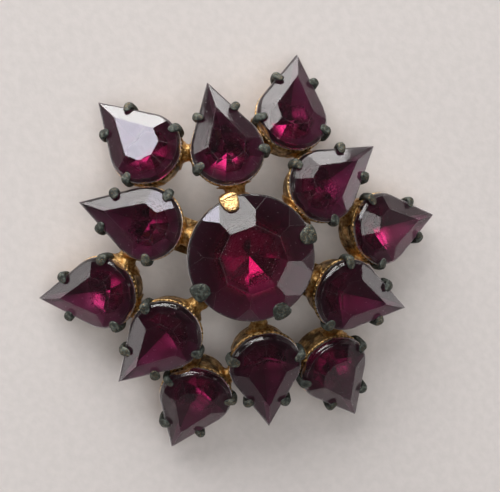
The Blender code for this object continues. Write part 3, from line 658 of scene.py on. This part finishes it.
def bent_claw(bm, rubbed, foot, angle, wide, reach, crown, polish, lean, fullness):
    """Claw that stands on the wall and is folded over the crown, ending in a round blob."""
    inward = -Vector((math.cos(math.radians(angle)), math.sin(math.radians(angle))))
    edge = crown_height(crown, *foot)
    rise = crown_height(crown, *(Vector(foot) + inward * reach)) - edge
    half = CLAW_THICK / 2
    out = half + CLAW_CLEARANCE
    lift = edge + out * math.hypot(reach, rise) / reach
    knots = [
        Vector((-0.45 * MM, 0, -GIRDLE / 2 - CLAW_ROOT)),
        Vector((0.02 * MM, 0, -1.15 * MM)),
        Vector((out, 0, -0.55 * MM)),
        Vector((out + 0.03 * MM, 0, edge - 0.05 * MM)),
        Vector((out * 0.62, 0, edge + (lift - edge) * 0.8)),
        Vector((0, 0, lift)),
        Vector((-reach * 0.5, 0, lift + rise * 0.5)),
        Vector((-reach, 0, lift + rise)),
    ]
    stations = []
    for index in range(len(knots) - 1):
        ends = [knots[max(0, min(len(knots) - 1, index + step))] for step in (-1, 0, 1, 2)]
        for share in (0, 0.34, 0.67):
            stations.append(catmull(ends, share))
    stations.append(knots[-1])
    last = len(stations) - 1
    turn = Matrix.Translation((*foot, 0)) @ Matrix.Rotation(math.radians(angle), 4, "Z")
    rings = []
    for index, middle in enumerate(stations):
        share = index / last
        ahead = stations[min(last, index + 1)] - stations[max(0, index - 1)]
        ahead.normalize()
        up = Vector((0, 1, 0)).cross(ahead)
        end = max(0.0, (share - CLAW_END) / (1 - CLAW_END))
        close = math.sqrt(max(0.0, 1 - end ** 2))
        widening = CLAW_ROOT_WIDTH + (1 - CLAW_ROOT_WIDTH) * min(1, share / CLAW_FULL)
        width = wide / 2 * widening * (CLAW_END_WIDTH + (1 - CLAW_END_WIDTH) * close)
        swell = 0.85 + fullness * math.sin(math.pi * min(1, share / 0.95))
        thick = half * swell * (CLAW_END_THICKNESS + (1 - CLAW_END_THICKNESS) * close)
        ring = []
        for side in range(CLAW_SIDES):
            a = 2 * math.pi * side / CLAW_SIDES
            across = math.copysign(abs(math.cos(a)) ** 0.95, math.cos(a)) * width
            above = math.copysign(abs(math.sin(a)) ** 0.95, math.sin(a)) * thick
            point = middle + Vector((0, across, 0)) + up * above
            point.y += lean * max(0.0, point.z - CLAW_LEAN_START)
            vertex = bm.verts.new(turn @ point)
            top = max(0.0, math.sin(a)) if share > 0.5 else 0.0
            vertex[rubbed] = polish * min(1, share / 0.45) + 0.12 * top
            ring.append(vertex)
        rings.append(ring)
    for first, second in zip(rings, rings[1:]):
        for side in range(CLAW_SIDES):
            after = (side + 1) % CLAW_SIDES
            face = bm.faces.new((first[side], first[after], second[after], second[side]))
            face.material_index = 1
    for ring in (rings[0], rings[-1]):
        bm.faces.new(ring).material_index = 1


def hand_dents(bm, amount, size):
    """Moves each vertex along its normal by smooth noise, as rough casting and wear do."""
    bm.normal_update()
    shifts = [
        (vertex, vertex.normal * noise.noise(vertex.co / size) * amount)
        for vertex in bm.verts
    ]
    for vertex, shift in shifts:
        vertex.co += shift


# Aged gilding: gold that shows through brown lacquer and black dirt, most where it is rubbed.
aged_gilding, given, result = new_group(
    "aged_gilding",
    [("Gold", "Color", (0.8, 0.5, 0.2, 1)), ("Brown", "Color", (0.3, 0.15, 0.05, 1)),
     ("Dirt", "Color", (0.03, 0.02, 0.015, 1)), ("Dirt Amount", "Float", 0.5),
     ("Rubbed", "Float", 0.0)],
    [("Color", "Color"), ("Roughness", "Float"), ("Height", "Float")],
)
place = add_node(aged_gilding, "TexCoord").outputs["Object"]
stains = speckle(aged_gilding, place, 700, 0.35, 0.62, 4)
pits = speckle(aged_gilding, place, 2600, 0.40, 0.60, 3)
pores = speckle(aged_gilding, place, 11000, 0.3, 0.7, 2)
shown = add_node(
    aged_gilding, "Math", {0: given.outputs["Rubbed"], 1: pits}, operation="ADD", use_clamp=True
)
base = mix_colours(
    aged_gilding, shown.outputs[0], given.outputs["Brown"], given.outputs["Gold"]
)
dirt = add_node(
    aged_gilding, "Math", {0: stains, 1: given.outputs["Dirt Amount"]}, operation="MULTIPLY"
)
cleaned = add_node(
    aged_gilding, "Math", {0: dirt.outputs[0], 1: given.outputs["Rubbed"]}, operation="SUBTRACT",
    use_clamp=True,
)
colour = mix_colours(aged_gilding, cleaned.outputs[0], base, given.outputs["Dirt"])
roughness = add_node(aged_gilding, "MapRange", {0: cleaned.outputs[0], 3: 0.30, 4: 0.62})
relief = add_node(aged_gilding, "Math", {0: pores, 1: 0.35, 2: pits}, operation="MULTIPLY_ADD")
aged_gilding.links.new(colour, result.inputs["Color"])
aged_gilding.links.new(roughness.outputs[0], result.inputs["Roughness"])
aged_gilding.links.new(relief.outputs[0], result.inputs["Height"])


def gilt_finish(name, gold, brown, dirt_amount):
    """Gilt metal finish with its own gold, brown and amount of dirt."""
    material, tree, shader = new_material(name)
    rubbed = add_node(tree, "Attribute", attribute_name="rubbed").outputs["Fac"]
    skin = place_group(tree, aged_gilding, {
        "Gold": (*gold, 1), "Brown": (*brown, 1), "Dirt Amount": dirt_amount, "Rubbed": rubbed,
    })
    tree.links.new(skin.outputs["Color"], shader.inputs["Base Color"])
    tree.links.new(skin.outputs["Roughness"], shader.inputs["Roughness"])
    shader.inputs["Metallic"].default_value = 1
    bump = add_node(
        tree, "Bump", {"Strength": 0.8, "Distance": 0.00006, "Height": skin.outputs["Height"]}
    )
    tree.links.new(bump.outputs[0], shader.inputs["Normal"])
    return material


cup_gilding = gilt_finish("cup_gilding", (0.93, 0.64, 0.28), (0.50, 0.24, 0.06), 0.85)

# Verdigris on the claws: a dull green-black crust with paler bloom, rubbed to gold in places.
claw_verdigris, tree, shader = new_material("claw_verdigris")
place = add_node(tree, "TexCoord").outputs["Object"]
bloom = speckle(tree, place, 2300, 0.48, 0.66, 3)
crust = speckle(tree, place, 1400, 0.35, 0.65, 3)
pores = speckle(tree, place, 9000, 0.3, 0.7, 2)
rubbed = add_node(tree, "Attribute", attribute_name="rubbed").outputs["Fac"]
crust_colour = mix_colours(tree, crust, (0.018, 0.022, 0.020, 1), (0.048, 0.054, 0.046, 1))
crust_colour = mix_colours(tree, bloom, crust_colour, (0.115, 0.135, 0.115, 1))
bare = add_node(tree, "Math", {0: rubbed, 1: 1.4, 2: pores}, operation="MULTIPLY_ADD")
bare = add_node(tree, "MapRange", {0: bare.outputs[0], 1: 1.0, 2: 1.5}).outputs[0]
tree.links.new(
    mix_colours(tree, bare, crust_colour, (0.86, 0.55, 0.24, 1)), shader.inputs["Base Color"]
)
metal_share = add_node(tree, "MapRange", {0: bare, 3: 0.45, 4: 1.0})
tree.links.new(metal_share.outputs[0], shader.inputs["Metallic"])
rough = add_node(tree, "MapRange", {0: bare, 3: 0.52, 4: 0.24})
tree.links.new(rough.outputs[0], shader.inputs["Roughness"])
relief = add_node(tree, "Math", {0: pores, 1: 0.5, 2: bloom}, operation="MULTIPLY_ADD")
bump = add_node(
    tree, "Bump", {"Strength": 0.7, "Distance": 0.00006, "Height": relief.outputs[0]}
)
tree.links.new(bump.outputs[0], shader.inputs["Normal"])


def evenly(outline, count):
    """Points at equal steps along a closed outline."""
    ends = outline + outline[:1]
    runs = [math.dist(a, b) for a, b in zip(ends, ends[1:])]
    step, points, walked, index = sum(runs) / count, [], 0.0, 0
    for number in range(count):
        target = number * step
        while walked + runs[index] < target - 1e-12:
            walked += runs[index]
            index += 1
        share = (target - walked) / runs[index]
        a, b = ends[index], ends[index + 1]
        points.append((a[0] + (b[0] - a[0]) * share, a[1] + (b[1] - a[1]) * share))
    return points


def round_rim(grow):
    """Rim line of the round cup, grown outwards."""
    teeth = round(2 * math.pi * ROUND_RADIUS / RIM_PITCH)
    return on_arc(ROUND_RADIUS - ROUND_RIM_INSET + grow, 0, 360, teeth * POINTS_PER_TOOTH)[:-1]


def finished_cup(bm, seat):
    """Mesh of a cup, dented, smooth and carried to its place."""
    bmesh.ops.recalc_face_normals(bm, faces=bm.faces)
    hand_dents(bm, DENT, DENT_STRETCH)
    mesh = mesh_of(bm, "cup")
    mesh.transform(seat)
    mesh.shade_smooth()
    return mesh


hand = random.Random(7)
bm = bmesh.new()
rubbed = bm.verts.layers.float.new("rubbed")
cup_wall(bm, rubbed, round_rim, milled_section(ROUND_CUP_DEPTH, CUP_LEAN_IN), lambda x: 0)
for angle, polish in ROUND_CLAWS:
    foot = on_arc(ROUND_RADIUS, angle, angle, 1)[0]
    bent_claw(
        bm, rubbed, foot, angle, ROUND_CLAW_WIDE, ROUND_CLAW_REACH, round_crown, polish,
        hand.uniform(-0.1, 0.1), 0.45,
    )
put_in_brooch(
    "round_cup", finished_cup(bm, Matrix.Translation(ROUND_MIDDLE)),
    (cup_gilding, claw_verdigris), ["centre_cup"],
)


# PEAR CUPS. The same stamped and gilded brass, one to a stone, round at the back of the stone
# and short of its point. Two claws hold the stone beside its point and two at its shoulders.
PEAR_CUP_DEPTH = 4.5 * MM
CUP_NOSE = 1.6 * MM
CLAW_WIDE = 1.2 * MM
CLAW_REACH = 0.85 * MM
SIDE_CLAW_FROM_TIP = 4.1 * MM
SHOULDER_CLAW_ANGLE = 110
NOSE_CENTRE = (PEAR_RADIUS - CUP_NOSE) / math.cos(math.radians(PEAR_SIDE_ANGLE))
PEAR_TEETH = 56
# Where the rim starts to dip towards the point, the length of the dip, and its depth.
DIP_START = 4.2 * MM
DIP_LENGTH = 2.4 * MM
DIP_DEPTH = 0.75 * MM


def pear_rim(grow):
    """Rim line of a pear cup, grown outwards: its round back, its sides and its nose."""
    body = on_arc(PEAR_RADIUS + grow, PEAR_SIDE_ANGLE, 360 - PEAR_SIDE_ANGLE, 64)
    nose = on_arc(CUP_NOSE + grow, -PEAR_SIDE_ANGLE, PEAR_SIDE_ANGLE, 16, (NOSE_CENTRE, 0))
    return evenly(body + nose, PEAR_TEETH * POINTS_PER_TOOTH)


def nose_fall(x):
    """How far the rim dips below the stone's overhanging point."""
    share = min(1, max(0, (x - DIP_START) / DIP_LENGTH))
    return DIP_DEPTH * share * share * (3 - 2 * share)


for setting, seat in SEATS.items():
    bm = bmesh.new()
    rubbed = bm.verts.layers.float.new("rubbed")
    cup_wall(bm, rubbed, pear_rim, milled_section(PEAR_CUP_DEPTH, CUP_LEAN_IN), nose_fall)
    side_x = PEAR_TIP - SIDE_CLAW_FROM_TIP
    side_y = SIDE_CLAW_FROM_TIP / math.tan(math.radians(PEAR_SIDE_ANGLE))
    for side in (1, -1):
        shoulder = side * SHOULDER_CLAW_ANGLE
        feet = (
            ((side_x, side * side_y), side * PEAR_SIDE_ANGLE),
            (on_arc(PEAR_RADIUS, shoulder, shoulder, 1)[0], shoulder),
        )
        for foot, angle in feet:
            bent_claw(
                bm, rubbed, foot, angle, CLAW_WIDE * hand.uniform(0.85, 1.15),
                CLAW_REACH * hand.uniform(0.85, 1.1), pear_crown, hand.uniform(0, 0.14),
                hand.uniform(-0.25, 0.25), hand.uniform(0.3, 0.6),
            )
    put_in_brooch(
        f"cup_{setting}", finished_cup(bm, seat), (cup_gilding, claw_verdigris),
        [f"{setting}_cup"],
    )


# SOLDER. Lumps of hard solder join each inner cup to the round one and each outer cup to the
# two inner cups beside it. They were gilded with the cups and are nearly as brown.
SOLDER_DEPTH = 1.5 * MM
SOLDER_RADIUS = 1.15 * MM
SOLDER_SINK = 0.55 * MM
SOLDER_DENT = 0.28 * MM


def solder_lump(bm, start, end, radius):
    """Lump between two points, thin in its middle and spread where it meets each wall."""
    run = end - start
    lay = Matrix.Translation(start) @ run.to_track_quat("Z", "Y").to_matrix().to_4x4()
    sides, stations, rings = 20, 12, []
    for index in range(stations + 1):
        share = index / stations
        spread = radius * (1 + 0.9 * abs(2 * share - 1) ** 3)
        rings.append([
            bm.verts.new(lay @ Vector((x, y, run.length * share)))
            for x, y in on_arc(spread, 0, 360, sides)[:-1]
        ])
    for first, second in zip(rings, rings[1:]):
        for side in range(sides):
            after = (side + 1) % sides
            bm.faces.new((first[side], first[after], second[after], second[side]))
    for ring in (rings[0], rings[-1]):
        bm.faces.new(ring)


bm = bmesh.new()
rubbed = bm.verts.layers.float.new("rubbed")
below = Vector((0, 0, -SOLDER_DEPTH))
middle_seat = Matrix.Translation(ROUND_MIDDLE)
pear_inside = PEAR_RADIUS - SOLDER_SINK
for index, setting in enumerate(SETTINGS):
    if setting.startswith("inner"):
        joins = [(middle_seat, ROUND_RADIUS - SOLDER_SINK)]
    else:
        beside = [SETTINGS[(index + step) % len(SETTINGS)] for step in (-1, 1)]
        joins = [(SEATS[other], pear_inside) for other in beside]
    for other_seat, other_inside in joins:
        start, end = SEATS[setting] @ below, other_seat @ below
        along = (end - start).normalized()
        solder_lump(
            bm, start + along * pear_inside, end - along * other_inside,
            SOLDER_RADIUS * hand.uniform(0.85, 1.2),
        )
bmesh.ops.recalc_face_normals(bm, faces=bm.faces)
hand_dents(bm, SOLDER_DENT, DENT_STRETCH)
solder_mesh = mesh_of(bm, "solder")
solder_mesh.shade_smooth()
solder_gilding = gilt_finish("solder_gilding", (0.93, 0.60, 0.23), (0.58, 0.28, 0.07), 0.5)
put_in_brooch("solder_joints", solder_mesh, (solder_gilding,))


# PIN BAR, CATCH AND SLEEVE. Gilt brass strip bent to the dome and soldered under three cups,
# with two ears for the hinge, a hook with an open tube, and a slotted sleeve that turns in it.
BACK_ROUNDING = 0.07 * MM
# CAD corners this close are one, and edges sharper than this many degrees are rounded.
SPLIT_CORNERS = 0.002 * MM
ROUNDED_ANGLE = 35


def soften_edges(node, width, material):
    """Rounds the worn edges of a CAD node a little and gives it its finish."""
    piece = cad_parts[node]
    weld = piece.modifiers.new("weld", "WELD")
    weld.merge_threshold = SPLIT_CORNERS
    rounding = piece.modifiers.new("worn_edges", "BEVEL")
    rounding.width = width
    rounding.segments = 2
    rounding.limit_method = "ANGLE"
    rounding.angle_limit = math.radians(ROUNDED_ANGLE)
    piece.data.materials.clear()
    piece.data.materials.append(material)


back_gilding = gilt_finish("back_gilding", (0.80, 0.58, 0.28), (0.46, 0.27, 0.10), 0.45)
for node in ("pin_bar", "catch_hook", "catch_sleeve"):
    soften_edges(node, BACK_ROUNDING, back_gilding)


# PIN AND RIVET. Drawn steel wire with a rolled barrel and a ground point, held between the
# ears by a headed rivet. Both have dulled, with a little rust round the hinge.
WIRE_ROUNDING = 0.04 * MM

pin_steel, tree, shader = new_material("dulled_steel")
place = add_node(tree, "TexCoord").outputs["Object"]
marks = place_group(tree, handling_marks, {"Scale": 1.4})
rust = speckle(tree, place, 1500, 0.58, 0.70, 4)
steel_colour = mix_colours(
    tree, marks.outputs["Smear"], (0.60, 0.585, 0.55, 1), (0.36, 0.34, 0.31, 1)
)
tree.links.new(
    mix_colours(tree, rust, steel_colour, (0.16, 0.075, 0.035, 1)), shader.inputs["Base Color"]
)
shader.inputs["Metallic"].default_value = 1
rough = add_node(tree, "MapRange", {0: marks.outputs["Hairline"], 3: 0.28, 4: 0.5})
tree.links.new(rough.outputs[0], shader.inputs["Roughness"])
bump = add_node(tree, "Bump", {"Strength": 0.5, "Distance": 0.00003, "Height": rust})
tree.links.new(bump.outputs[0], shader.inputs["Normal"])
for node in ("pin_stem", "hinge_rivet"):
    soften_edges(node, WIRE_ROUNDING, pin_steel)
